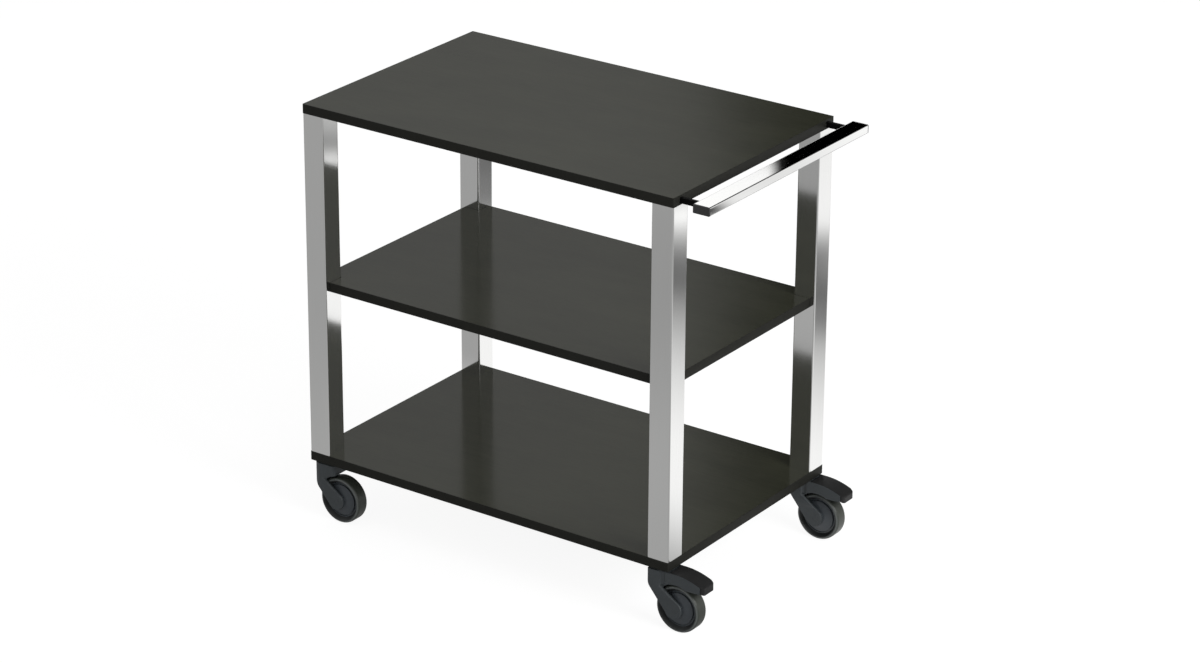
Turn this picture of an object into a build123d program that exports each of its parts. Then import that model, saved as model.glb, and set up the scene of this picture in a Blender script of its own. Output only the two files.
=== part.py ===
from build123d import *
import os
from math import acos, atan2, cos, radians, sin, sqrt

# Service cart: three shelves on four square tube legs, a bar handle at one end, four swivel casters.
# Millimetres. +Z is up, +X points to the handle end and -Y is the front. The origin is on the floor,
# under the middle of the whole footprint, shelves and handle together.

# Shelf boards
SHELF_LENGTH = 900.0
SHELF_DEPTH = 570.0
SHELF_THICKNESS = 20.0
SHELF_CORNER_R = 2.5
SHELF_ARRIS_R = 1.0
LOWER_CLEAR = 365.0  # bottom shelf to the underside of the middle one
UPPER_CLEAR = 360.0  # middle shelf to the underside of the top one
MIDDLE_INSET = 13.5  # the middle shelf stays this far inside the outline of the others
NOTCH_CLEAR = 0.5  # middle shelf's notch to the leg

# Legs and what closes them
LEG_SIZE = 50.0
LEG_WALL = 2.0
LEG_CORNER_R = 3.0
LEG_BORE_R = 1.0
LEG_SETBACK = 0.5  # leg's outer face to the shelf's edge
FOOT_PLUG_HEIGHT = 32.0
TOP_PLUG_HEIGHT = 26.0
PLUG_FLOOR = 5.0  # plug left beyond the end of its stud
TOP_STUD_D = 10.0
STUD_COVER = 6.0  # board left beyond the end of a stud or screw

# Brackets under the middle shelf
BRACKET_T = 3.0
BRACKET_ALONG = 30.0  # along each leg face
BRACKET_OUT = 34.0  # away from each leg face
BRACKET_SCREW_D = 4.0
BRACKET_SCREW_LIP = 2.0  # head past the shank
BRACKET_SCREW_HEAD_T = 2.5
BRACKET_SCREW_HEAD_R = 1.5

# Handle
HANDLE_GAP = 43.0  # shelf's end to the bar
BAR_WIDTH = 38.0
BAR_HEIGHT = 18.0
BAR_WALL = 1.5
BAR_CORNER_R = 2.0
BAR_CAP_T = 3.0
CAP_TO_BLOCK = 2.0  # end cap's plug to the nut block
ARM_WIDTH = 8.0
ARM_HEIGHT = 12.0
ARM_EDGE_R = 1.0
ARM_OUTSIDE_LEG = 0.5  # arm's middle outside the middle of the leg
HANDLE_STUD_D = 6.0
HANDLE_STUD_SHORT = 14.0  # end of the stud to the bar's outer face
HANDLE_INSERT_WALL = 2.0
INSERT_TO_STUD = 3.0  # handle insert to the leg's stud
NUT_BLOCK_LENGTH = 24.0

# Casters, the same for all four
WHEEL_DIAMETER = 100.0
WHEEL_WIDTH = 32.0
TYRE_DEPTH = 12.0
TYRE_SHOULDER_R = 6.0
RIM_SETBACK = 8.0  # rim's edge behind the tyre's side
DISC_SETBACK = 1.5  # wheel disc behind the tyre's side, at the hub
DISC_FALL = 5.0  # how much further back it lies at its edge
DISC_GROOVE = 4.0  # depth of the groove round the disc
DISC_GROOVE_WIDTH = 3.0
RIM_LIP = 1.5  # rim outside the groove
HUB_WALL = 7.0
HUB_PROUD = 0.5  # hub's end past the tyre's side
TRAIL = 41.5  # swivel axis to axle, measured level
TYRE_GAP = 6.0  # tyre to the fork's crown
FRONT_GAP = 2.5  # tyre to the web that joins the cheeks at the front
CROWN_ROOM = 25.0  # fork's crown to the shelf's underside
SIDE_GAP = 3.0  # tyre's side to the fork's cheek
CHEEK_T = 5.5
CHEEK_BACK = 3.0  # cheek's rear edge behind the swivel axis
CHEEK_WAIST = 34.0  # depth at which the cheek turns back towards the axle
CHEEK_EDGE_R = 4.0
FOOT_R = 22.0  # front of the cheek, where it turns back
WAIST_R = 14.0  # rear of the cheek, in the same place
BOSS_R = 20.0  # end of the cheek, round the axle
BOSS_AHEAD = 5.5  # middle of that end ahead of the axle
BOSS_STEP = 1.5  # its face behind the cheek's
BOSS_SLOPE = 7.0  # height of the slope from one face to the other
BOSS_SLOPE_DEPTH = 54.0  # where that slope starts
HEAD_FRONT = 25.0  # fork's front ahead of the swivel axis
HEAD_LAP = 3.0  # fork's head into each cheek
HEAD_ROUND_AHEAD = 2.0  # middle of the head's round rear ahead of the cheek's rear edge
HEAD_ROUND_STEP = 0.4  # round rear inside the cheek's face
HEAD_BELOW_NUT = 5.0
HOOD_SHORT = 8.0  # plain fork's hood ends this far ahead of the wheel's top
HOOD_R = 8.0
AXLE_D = 8.0
AXLE_LIP = 3.0  # axle's flush head past its shank
AXLE_HEAD_T = 2.5
BUSH_WALL = 2.5
BUSH_LIP = 3.5  # bush's flange past its sleeve
BUSH_SPACE = 5.0  # between the two bushes of a wheel
STEM_D = 12.0
STEM_FLANGE_T = 3.0
STEM_FLANGE_LIP = 2.0  # flange past the swivel ring
RING_WIDTH = 11.0
RING_T = 4.0
HEAD_DROP = 1.0  # flange to the fork's head
NUT_WALL = 3.0
NUT_T = 7.0

# Brake on the two casters at the handle end
PEDAL_TO_HEAD = 5.0  # pedal's hub to the fork's head
PEDAL_HEEL = 7.0  # pedal's front edge ahead of the pin
PEDAL_RISE = 2.0  # pedal's top over the fork's head
PEDAL_FLAT = 4.0  # level stretch behind the pin
PEDAL_BEND_R = 150.0
PEDAL_LEAN = 27.0  # degrees, how far the pedal's end has turned down
PEDAL_T = 3.5
PEDAL_LIP = 13.0  # depth of the pedal's end
PEDAL_LIP_R = 5.0
PEDAL_TIP_R = 8.0  # corners of the end, seen from above
PEDAL_HUB_R = 7.0
PEDAL_PIN_D = 5.0
PEDAL_TRAVEL = 9.0  # degrees, brake off to brake on
PEDAL_PROUD = 0.5  # pedal's top over the side walls
WALL_T = 1.8
WALL_STEP = 1.7  # side wall's face behind the cheek's
WALL_LEAN = 23.7  # degrees, the same at the side wall's end
WALL_SKIRT = 14.0  # side wall's depth at its end
WALL_SKIRT_LENGTH = 31.0  # from there to where it meets the wheel's curve
WALL_SKIRT_FALL = 1.0  # how far the bottom falls on that length
WALL_END_R = 3.0
FLUTE_X = 11.0  # upright hollow between the cheek and the side wall, behind the swivel axis
FLUTE_R = 9.0
FLUTE_DEPTH = 4.2  # from the cheek's face
SHOE_TO_ROOF = 5.0  # brake shoe's front behind the roof's end
SHOE_LENGTH = 18.0
SHOE_WIDTH = 24.0
BRAKE_ROOF_T = 2.5
BRAKE_ROOF_BACK = 8.0  # roof's end behind the pin
LEAF_T = 1.0
LEAF_WIDTH = 14.0
LEAF_ROOM = 0.2  # leaf to the roof
LEDGE_LENGTH = 5.0

# Clearances
FIT = 0.05  # radius of a hole over the pin or stud in it
PLUG_FIT = 0.1  # plug to the tube's wall
RUN = 0.3  # between faces that move past each other

# Levels and places that follow
WHEEL_R = WHEEL_DIAMETER / 2
AXLE_DROP = WHEEL_R + TYRE_GAP + CROWN_ROOM
BOTTOM_Z = WHEEL_R + AXLE_DROP
LEG_BOTTOM_Z = BOTTOM_Z + SHELF_THICKNESS
MIDDLE_Z = LEG_BOTTOM_Z + LOWER_CLEAR
LEG_LENGTH = LOWER_CLEAR + SHELF_THICKNESS + UPPER_CLEAR
TOP_Z = LEG_BOTTOM_Z + LEG_LENGTH
BAR_Z = TOP_Z + SHELF_THICKNESS / 2
SHELF_X = -(HANDLE_GAP + BAR_WIDTH) / 2
SHELF_END_X = SHELF_X + SHELF_LENGTH / 2
BAR_X = SHELF_END_X + HANDLE_GAP + BAR_WIDTH / 2
LEG_INSET = LEG_SETBACK + LEG_SIZE / 2
ARM_INSET = LEG_INSET - ARM_OUTSIDE_LEG
LEG_DX = SHELF_LENGTH / 2 - LEG_INSET
LEG_DY = SHELF_DEPTH / 2 - LEG_INSET
ARM_DY = SHELF_DEPTH / 2 - ARM_INSET
STUD_IN_SHELF = SHELF_THICKNESS - STUD_COVER
TOP_STUD_IN_PLUG = TOP_PLUG_HEIGHT - PLUG_FLOOR
STEM_IN_PLUG = FOOT_PLUG_HEIGHT - PLUG_FLOOR
HANDLE_STUD_IN_BAR = BAR_WIDTH - HANDLE_STUD_SHORT
HANDLE_INSERT_D = HANDLE_STUD_D + 2 * HANDLE_INSERT_WALL
HANDLE_INSERT_LENGTH = LEG_INSET - TOP_STUD_D / 2 - INSERT_TO_STUD
BAR_CAP_PLUG = ARM_INSET - NUT_BLOCK_LENGTH / 2 - BAR_CAP_T - CAP_TO_BLOCK
CHEEK_IN = WHEEL_WIDTH / 2 + SIDE_GAP
CHEEK_OUT = CHEEK_IN + CHEEK_T
BOSS_OUT = CHEEK_OUT - BOSS_STEP
HEAD_R = CHEEK_IN + HEAD_LAP
HEAD_TOP = -STEM_FLANGE_T - HEAD_DROP
PEDAL_TOP = HEAD_TOP + PEDAL_RISE
RING_SEAT = -STEM_FLANGE_T - RING_T
SLOT_R = WHEEL_R + TYRE_GAP
WALL_OUT = CHEEK_OUT - WALL_STEP
PEDAL_HALF = WALL_OUT - WALL_T - RUN
RING_D = STEM_D + 2 * RING_WIDTH
STEM_FLANGE_D = RING_D + 2 * STEM_FLANGE_LIP
NUT_ACROSS_FLATS = STEM_D + 2 * NUT_WALL
NUT_CORNER_R = NUT_ACROSS_FLATS / sqrt(3)
NUT_BOTTOM = -AXLE_DROP + sqrt(SLOT_R**2 - (TRAIL - NUT_CORNER_R - 2 * RUN) ** 2) + RUN
HEAD_BOTTOM = NUT_BOTTOM - HEAD_BELOW_NUT
RIM_R = WHEEL_R - TYRE_DEPTH
HUB_END = WHEEL_WIDTH / 2 + HUB_PROUD
BUSH_D = AXLE_D + 2 * BUSH_WALL
BUSH_LENGTH = HUB_END - BUSH_SPACE / 2
AXLE_HEAD_D = AXLE_D + 2 * AXLE_LIP
PIVOT_X = HEAD_R + PEDAL_TO_HEAD + PEDAL_HUB_R
LEAF_TOP = -CROWN_ROOM + BRAKE_ROOF_T + LEAF_ROOM + LEAF_T
PIVOT_Z = LEAF_TOP + RUN + PEDAL_HUB_R
HEEL_X = PIVOT_X - PEDAL_HEEL
BEND_X = PIVOT_X + PEDAL_FLAT
BEND_Z = PEDAL_TOP - PEDAL_BEND_R
ROOF_END_X = PIVOT_X + BRAKE_ROOF_BACK
SHOE_X = ROOF_END_X + SHOE_TO_ROOF

SIDES = {"front": -1, "rear": 1}
ENDS = {"left": -1, "right": 1}
BRAKED_END = "right"


def upright(sketch, width):
    """A side view, drawn with its height along Y, given this width across the cart."""
    return extrude(Plane.XZ * sketch, amount=width / 2, both=True)


def across(radius, length):
    """A round bar lying across the cart, about its own middle."""
    return Rot(90, 0, 0) * Cylinder(radius, length)


def lengthwise(radius, start, end):
    """A round bar along X, from start to end."""
    return Pos((start + end) / 2, 0, 0) * Rot(0, 90, 0) * Cylinder(radius, end - start)


def standing(shape, bottom, top):
    """A plan view raised from one level to another."""
    return Pos(0, 0, bottom) * extrude(shape, amount=top - bottom)


def tangent_point(point, centre, radius, side):
    """Where the line from a point touches a circle; side is 1 or -1."""
    away_x = point[0] - centre[0]
    away_y = point[1] - centre[1]
    spread = acos(radius / sqrt(away_x**2 + away_y**2))
    angle = atan2(away_y, away_x) + side * spread
    return (centre[0] + radius * cos(angle), centre[1] + radius * sin(angle))


def corners():
    """Each leg's name with its place and its outward signs."""
    for side, sign_y in SIDES.items():
        for end, sign_x in ENDS.items():
            yield f"{side}_{end}", SHELF_X + sign_x * LEG_DX, sign_y * LEG_DY, sign_x, sign_y


# Shelves
def board(length, depth):
    plan = RectangleRounded(length, depth, SHELF_CORNER_R)
    return extrude(plan, amount=SHELF_THICKNESS)


def soften(shape):
    """Round the top and bottom arrises of a board."""
    level = shape.edges().filter_by(lambda edge: abs(edge.tangent_at(0.5).Z) < 0.5)
    return fillet(level, SHELF_ARRIS_R)


def top_shelf():
    shape = Pos(SHELF_X, 0, TOP_Z) * soften(board(SHELF_LENGTH, SHELF_DEPTH))
    hole = standing(Circle(TOP_STUD_D / 2 + FIT), 0, STUD_IN_SHELF + RUN)
    for _, x, y, _, _ in corners():
        shape -= Pos(x, y, TOP_Z) * hole
    for sign_y in SIDES.values():
        bore = lengthwise(HANDLE_INSERT_D / 2 + FIT, SHELF_END_X - HANDLE_INSERT_LENGTH - RUN, SHELF_END_X)
        shape -= Pos(0, sign_y * ARM_DY, BAR_Z) * bore
    return shape


def bracket_screws_at(x, y, sign_x, sign_y):
    """The two screw places of one bracket, each half way along its arm."""
    along = LEG_SIZE / 2 - BRACKET_ALONG / 2
    out = LEG_SIZE / 2 + BRACKET_OUT / 2
    return [(x - sign_x * along, y - sign_y * out), (x - sign_x * out, y - sign_y * along)]


def middle_shelf():
    shape = board(SHELF_LENGTH - 2 * MIDDLE_INSET, SHELF_DEPTH - 2 * MIDDLE_INSET)
    for _, x, y, _, _ in corners():
        notch = Box(LEG_SIZE + 2 * NOTCH_CLEAR, LEG_SIZE + 2 * NOTCH_CLEAR, 3 * SHELF_THICKNESS)
        shape -= Pos(x - SHELF_X, y, 0) * notch
    shape = Pos(SHELF_X, 0, MIDDLE_Z) * soften(shape)
    hole = standing(Circle(BRACKET_SCREW_D / 2 + FIT), 0, STUD_IN_SHELF + RUN)
    for _, x, y, sign_x, sign_y in corners():
        for place in bracket_screws_at(x, y, sign_x, sign_y):
            shape -= Pos(*place, MIDDLE_Z) * hole
    return shape


def bottom_shelf():
    shape = Pos(SHELF_X, 0, BOTTOM_Z) * soften(board(SHELF_LENGTH, SHELF_DEPTH))
    for _, x, y, _, _ in corners():
        shape -= Pos(x, y, BOTTOM_Z) * Cylinder(STEM_D / 2 + FIT, 3 * SHELF_THICKNESS)
    return shape


# Legs
def tube_bore():
    return LEG_SIZE - 2 * LEG_WALL


def leg():
    outside = RectangleRounded(LEG_SIZE, LEG_SIZE, LEG_CORNER_R)
    inside = RectangleRounded(tube_bore(), tube_bore(), LEG_BORE_R)
    return extrude(outside - inside, amount=LEG_LENGTH)


def plug(height, bore_d, bore_depth, mouth_up):
    """A square plug for the end of a leg, bored from its outer end."""
    width = tube_bore() - 2 * PLUG_FIT
    shape = extrude(RectangleRounded(width, width, LEG_BORE_R), amount=height)
    depth = bore_depth + RUN
    start = height - depth if mouth_up else 0
    return shape - standing(Circle(bore_d / 2 + FIT), start, start + depth)


def bracket():
    """Plate that hugs the inner corner of a leg, drawn for the leg at the low X and low Y corner."""
    half = LEG_SIZE / 2
    span = BRACKET_ALONG + BRACKET_OUT
    middle = half - BRACKET_ALONG + span / 2
    plan = Pos(middle, middle) * Rectangle(span, span) - Rectangle(LEG_SIZE, LEG_SIZE)
    for place in bracket_screws_at(0, 0, -1, -1):
        plan -= Pos(*place) * Circle(BRACKET_SCREW_D / 2 + FIT)
    return extrude(plan, amount=BRACKET_T)


def bracket_screw():
    head = standing(Circle(BRACKET_SCREW_D / 2 + BRACKET_SCREW_LIP), -BRACKET_SCREW_HEAD_T, 0)
    head = fillet(head.edges().sort_by(Axis.Z)[0], BRACKET_SCREW_HEAD_R)
    return head + standing(Circle(BRACKET_SCREW_D / 2), 0, BRACKET_T + STUD_IN_SHELF)


# Handle, drawn about the bar's level and the front or rear arm's own line
def bar_section(clear):
    """Inside of the bar, less a clearance all round."""
    return Rectangle(BAR_WIDTH - 2 * (BAR_WALL + clear), BAR_HEIGHT - 2 * (BAR_WALL + clear))


def handle_bar():
    section = RectangleRounded(BAR_WIDTH, BAR_HEIGHT, BAR_CORNER_R) - bar_section(0)
    tube = Pos(BAR_X, 0, BAR_Z) * upright(section, SHELF_DEPTH - 2 * BAR_CAP_T)
    for sign_y in SIDES.values():
        hole = lengthwise(HANDLE_STUD_D / 2 + FIT, BAR_X - BAR_WIDTH, BAR_X)
        tube -= Pos(0, sign_y * ARM_DY, BAR_Z) * hole
    return tube


def bar_end_cap(sign_y):
    plate = upright(RectangleRounded(BAR_WIDTH, BAR_HEIGHT, BAR_CORNER_R), BAR_CAP_T)
    outer = plate.faces().sort_by(Axis.Y)[-1 if sign_y > 0 else 0]
    plate = fillet(outer.edges(), BAR_CORNER_R / 2)
    tongue = upright(bar_section(PLUG_FIT), BAR_CAP_PLUG)
    shift = (BAR_CAP_T + BAR_CAP_PLUG) / 2
    shape = plate + Pos(0, -sign_y * shift, 0) * tongue
    return Pos(BAR_X, sign_y * (SHELF_DEPTH - BAR_CAP_T) / 2, BAR_Z) * shape


def handle_arm(sign_y):
    shape = Box(HANDLE_GAP, ARM_WIDTH, ARM_HEIGHT)
    shape = fillet(shape.edges().filter_by(Axis.X), ARM_EDGE_R)
    shape -= lengthwise(HANDLE_STUD_D / 2 + FIT, -HANDLE_GAP, HANDLE_GAP)
    return Pos(SHELF_END_X + HANDLE_GAP / 2, sign_y * ARM_DY, BAR_Z) * shape


def handle_stud(sign_y):
    start = SHELF_END_X - HANDLE_INSERT_LENGTH
    end = SHELF_END_X + HANDLE_GAP + HANDLE_STUD_IN_BAR
    return Pos(0, sign_y * ARM_DY, BAR_Z) * lengthwise(HANDLE_STUD_D / 2, start, end)


def handle_insert(sign_y):
    start = SHELF_END_X - HANDLE_INSERT_LENGTH
    shape = lengthwise(HANDLE_INSERT_D / 2, start, SHELF_END_X)
    shape -= lengthwise(HANDLE_STUD_D / 2 + FIT, start, SHELF_END_X)
    return Pos(0, sign_y * ARM_DY, BAR_Z) * shape


def nut_block(sign_y):
    block = upright(bar_section(PLUG_FIT), NUT_BLOCK_LENGTH)
    bore_end = HANDLE_STUD_IN_BAR - BAR_WIDTH / 2 + RUN
    block -= lengthwise(HANDLE_STUD_D / 2 + FIT, -BAR_WIDTH, bore_end)
    return Pos(BAR_X, sign_y * ARM_DY, BAR_Z) * block


# Casters, drawn with the swivel axis on Z, the shelf's underside at zero and the wheel behind, at +X
def stem():
    stud = standing(Circle(STEM_D / 2), NUT_BOTTOM, SHELF_THICKNESS + STEM_IN_PLUG)
    flange = standing(Circle(STEM_FLANGE_D / 2), -STEM_FLANGE_T, 0)
    return stud + flange


def stem_nut():
    hexagon = RegularPolygon(NUT_ACROSS_FLATS / 2, 6, major_radius=False) - Circle(STEM_D / 2 + FIT)
    return standing(hexagon, NUT_BOTTOM, NUT_BOTTOM + NUT_T)


def swivel_ring():
    return standing(Circle(RING_D / 2) - Circle(STEM_D / 2 + FIT), RING_SEAT, -STEM_FLANGE_T)


def fork_body():
    """Head and both cheeks: a front that drops, then sweeps back to a round boss on the axle."""
    boss = (TRAIL - BOSS_AHEAD, -AXLE_DROP)
    foot = (-HEAD_FRONT, HEAD_BOTTOM)
    waist = (CHEEK_BACK, -CHEEK_WAIST)
    front_touch = tangent_point(foot, boss, BOSS_R, 1)
    back_touch = tangent_point(waist, boss, BOSS_R, -1)
    sweep = atan2(boss[1] - waist[1], boss[0] - waist[0])
    boss_tip = (boss[0] + BOSS_R * cos(sweep), boss[1] + BOSS_R * sin(sweep))
    top = [(CHEEK_BACK, HEAD_TOP), (-HEAD_FRONT, HEAD_TOP)]
    outline = Polyline(back_touch, waist, *top, foot, front_touch)
    outline += ThreePointArc(front_touch, boss_tip, back_touch)
    profile = make_face(outline)
    profile = fillet(profile.vertices().sort_by_distance((*foot, 0))[0], FOOT_R)
    profile = fillet(profile.vertices().sort_by_distance((*waist, 0))[0], WAIST_R)
    shape = upright(profile, 2 * CHEEK_OUT)
    sides = shape.faces().sort_by(Axis.Y)
    rims = sides[0].edges() + sides[-1].edges()
    rims = rims.filter_by(lambda edge: edge.center().Z < HEAD_TOP - FIT)
    shape = fillet(rims, CHEEK_EDGE_R) + round_back() + standing(Circle(HEAD_R), HEAD_BOTTOM, HEAD_TOP)
    return shape - wheel_room() - both_sides(boss_face())


def wheel_room():
    """Room for the wheel between the cheeks, closer to it ahead of the swivel axis than behind."""
    behind = Box(2 * SLOT_R, 2 * CHEEK_IN, 2 * AXLE_DROP, align=(Align.MIN, Align.CENTER, Align.CENTER))
    room = Pos(TRAIL, 0, -AXLE_DROP) * across(SLOT_R, 2 * CHEEK_IN) & behind
    return room + Pos(TRAIL, 0, -AXLE_DROP) * across(WHEEL_R + FRONT_GAP, 2 * CHEEK_IN)


def boss_face():
    """What the lower end of a cheek lacks: its face lies further in, below a slope."""
    floor = -AXLE_DROP - 2 * BOSS_R
    slope = [(CHEEK_OUT, -BOSS_SLOPE_DEPTH), (BOSS_OUT, -BOSS_SLOPE_DEPTH - BOSS_SLOPE)]
    section = make_face(Polyline(*slope, (BOSS_OUT, floor), (CHEEK_OUT, floor), close=True))
    return extrude(Plane.YZ * section, amount=TRAIL + BOSS_R, both=True)


def round_back():
    """Rear of the head, where the cheeks turn in towards each other."""
    plan = Pos(CHEEK_BACK - HEAD_ROUND_AHEAD) * Circle(CHEEK_OUT - HEAD_ROUND_STEP)
    plan &= Pos(HEAD_R / 2) * Rectangle(HEAD_R, 4 * CHEEK_OUT)
    return standing(plan, -CHEEK_WAIST, HEAD_TOP)


def both_sides(shape):
    return shape + mirror(shape, Plane.XZ)


def swivel_bore():
    bore = standing(Circle(STEM_D / 2 + FIT), HEAD_BOTTOM, HEAD_TOP)
    seat = standing(Circle(RING_D / 2 + RUN), RING_SEAT - RUN, 0)
    pocket = standing(Circle(NUT_CORNER_R + 2 * RUN), -AXLE_DROP, NUT_BOTTOM + NUT_T + RUN)
    return bore + seat + pocket


def axle_bore():
    seat = across(AXLE_HEAD_D / 2 + PLUG_FIT, AXLE_HEAD_T)
    seats = both_sides(Pos(0, BOSS_OUT - AXLE_HEAD_T / 2, 0) * seat)
    return Pos(TRAIL, 0, -AXLE_DROP) * (seats + across(AXLE_D / 2 + FIT, 4 * CHEEK_OUT))


def hood():
    """Closed block behind the head of a fork that has no brake, cut to the wheel's curve below."""
    length = TRAIL - HOOD_SHORT
    plan = Pos(length / 2) * Rectangle(length, 2 * WALL_OUT)
    plan = fillet(plan.vertices().group_by(Axis.X)[-1], HOOD_R)
    shape = standing(plan, -AXLE_DROP, HEAD_TOP)
    return shape - Pos(TRAIL, 0, -AXLE_DROP) * across(SLOT_R, 4 * CHEEK_OUT)


def round_front():
    """Room that a fork with a round front lies in."""
    length = TRAIL + BOSS_R
    plan = Circle(CHEEK_OUT) + Pos(length / 2) * Rectangle(length, 2 * CHEEK_OUT)
    return standing(plan, -AXLE_DROP - 2 * BOSS_R, HEAD_TOP)


def plain_fork():
    return (fork_body() & round_front()) + hood() - swivel_bore() - axle_bore()


# Brake: the pedal tips about a pin in the fork's side walls and its shoe meets the tyre
def pedal_curve(depth, start, lean):
    """Side view of the pedal's top, or of a surface this far under it, with the point where it ends."""
    radius = PEDAL_BEND_R - depth
    bend = (BEND_X, BEND_Z + radius)
    half, tip = [(BEND_X + radius * sin(turn), BEND_Z + radius * cos(turn)) for turn in (lean / 2, lean)]
    return Line((start, bend[1]), bend) + ThreePointArc(bend, half, tip), tip


def side_wall():
    """Wall of the braked fork beside the pedal, cut to the wheel's curve below."""
    top, tip = pedal_curve(PEDAL_PROUD, 0, radians(WALL_LEAN))
    skirt = (tip[0], tip[1] - WALL_SKIRT)
    heel = (skirt[0] - WALL_SKIRT_LENGTH, skirt[1] - WALL_SKIRT_FALL)
    front = [(0, HEAD_BOTTOM), (0, PEDAL_TOP - PEDAL_PROUD)]
    outline = top + Polyline(tip, skirt, heel, (TRAIL, -AXLE_DROP), *front)
    profile = make_face(outline) - Pos(TRAIL, -AXLE_DROP) * Circle(SLOT_R)
    profile = profile.faces().sort_by(SortBy.AREA)[-1]
    profile = fillet(profile.vertices().group_by(Axis.X)[-1], WALL_END_R)
    return Pos(0, WALL_OUT - WALL_T / 2, 0) * upright(profile, WALL_T)


def wall_root():
    """Solid rear of the braked fork's head, between the roots of its side walls."""
    plan = Pos(HEAD_R / 2) * Rectangle(HEAD_R, 2 * WALL_OUT)
    shape = standing(plan, -AXLE_DROP, HEAD_TOP)
    return shape - Pos(TRAIL, 0, -AXLE_DROP) * across(SLOT_R, 4 * CHEEK_OUT)


def flute():
    """Upright hollow that parts the side wall from the cheek."""
    return Pos(FLUTE_X, CHEEK_OUT + FLUTE_R - FLUTE_DEPTH, 0) * standing(Circle(FLUTE_R), -CHEEK_WAIST, 0)


def roof():
    """Curved web between the side walls, over the wheel, from the head back past the pedal's pin."""
    band = across(SLOT_R + BRAKE_ROOF_T, 2 * (WALL_OUT - WALL_T / 2)) - across(SLOT_R, 4 * CHEEK_OUT)
    keep = Box(ROOF_END_X, 4 * CHEEK_OUT, AXLE_DROP, align=(Align.MIN, Align.CENTER, Align.MAX))
    return Pos(TRAIL, 0, -AXLE_DROP) * band & keep


def leaf_ledge():
    """Step on the head that carries the leaf spring."""
    length = HEAD_R + LEDGE_LENGTH
    step = standing(Pos(length / 2) * Rectangle(length, LEAF_WIDTH), HEAD_BOTTOM, LEAF_TOP - LEAF_T)
    return step - Pos(TRAIL, 0, -AXLE_DROP) * across(SLOT_R, 2 * CHEEK_IN)


def at_pivot(shape):
    return Pos(PIVOT_X, 0, PIVOT_Z) * shape


def pin_bore():
    return at_pivot(across(PEDAL_PIN_D / 2 + FIT, 4 * CHEEK_OUT))


def braked_fork():
    shape = fork_body() + wall_root() + both_sides(side_wall()) + leaf_ledge() + roof()
    return shape - both_sides(flute()) - swivel_bore() - axle_bore() - pin_bore()


def pedal_plan(end, half_width, corner_r):
    """Room under a plan view that reaches back from the heel to a round-cornered end."""
    length = end - HEEL_X
    plan = Pos(HEEL_X + length / 2) * Rectangle(length, 2 * half_width)
    plan = fillet(plan.vertices().group_by(Axis.X)[-1], corner_r)
    return standing(plan, -AXLE_DROP, 0)


def pedal():
    """Tread with a turned-down rim that deepens towards its end, on a hub round the pin."""
    lean = radians(PEDAL_LEAN)
    top, tip = pedal_curve(0, HEEL_X, lean)
    under_z = PEDAL_TOP - PEDAL_T
    heel = [(HEEL_X, under_z), (HEEL_X, PEDAL_TOP)]
    profile = make_face(top + Polyline(tip, (tip[0], tip[1] - PEDAL_LIP), (BEND_X, under_z), *heel))
    profile = fillet(profile.vertices().sort_by_distance((*tip, 0))[0], PEDAL_LIP_R)
    shell = upright(profile, 2 * PEDAL_HALF) & pedal_plan(tip[0], PEDAL_HALF, PEDAL_TIP_R)
    under, under_tip = pedal_curve(PEDAL_T, HEEL_X, lean)
    floor = tip[1] - 2 * PEDAL_LIP
    below = [(under_tip[0], floor), (HEEL_X, floor), (HEEL_X, under_z)]
    hollow = make_face(under + Polyline(under_tip, *below))
    inside = pedal_plan(tip[0] - PEDAL_T, PEDAL_HALF - PEDAL_T, PEDAL_TIP_R - PEDAL_T)
    shell -= upright(hollow, 2 * PEDAL_HALF) & inside
    neck_height = PEDAL_TOP - PEDAL_T / 2 - PIVOT_Z
    neck = Pos(0, 0, neck_height / 2) * Box(2 * PEDAL_HUB_R, 2 * PEDAL_HALF, neck_height)
    hub = across(PEDAL_HUB_R, 2 * PEDAL_HALF)
    return shell + at_pivot(neck + hub) - pin_bore()


def brake_shoe():
    """Block under the pedal, hollowed to the tyre as it lies against it with the brake on."""
    under, tip = pedal_curve(PEDAL_T, HEEL_X, radians(PEDAL_LEAN))
    floor = -AXLE_DROP
    outline = under + Polyline(tip, (tip[0], floor), (HEEL_X, floor), (HEEL_X, PEDAL_TOP - PEDAL_T))
    block = Pos(SHOE_X + SHOE_LENGTH / 2, floor / 2) * Rectangle(SHOE_LENGTH, -floor)
    turn = radians(PEDAL_TRAVEL)
    reach_x = TRAIL - PIVOT_X
    reach_z = -AXLE_DROP - PIVOT_Z
    tyre_x = PIVOT_X + reach_x * cos(turn) - reach_z * sin(turn)
    tyre_z = PIVOT_Z + reach_x * sin(turn) + reach_z * cos(turn)
    profile = (make_face(outline) & block) - Pos(tyre_x, tyre_z) * Circle(WHEEL_R + RUN)
    return upright(profile.faces().sort_by(Axis.Y)[-1], SHOE_WIDTH)


def brake_leaf():
    start = HEAD_R + FIT
    end = PIVOT_X + PEDAL_HUB_R
    return Pos((start + end) / 2, 0, LEAF_TOP - LEAF_T / 2) * Box(end - start, LEAF_WIDTH, LEAF_T)


def pedal_pin():
    return at_pivot(across(PEDAL_PIN_D / 2, 2 * WALL_OUT))


# Wheel, drawn about its own axle
def turned(half_outline):
    """Solid of revolution about the axle from the outline of its one half."""
    half = make_face(half_outline)
    return revolve(half + mirror(half, Plane.XZ), Axis.Y)


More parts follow.
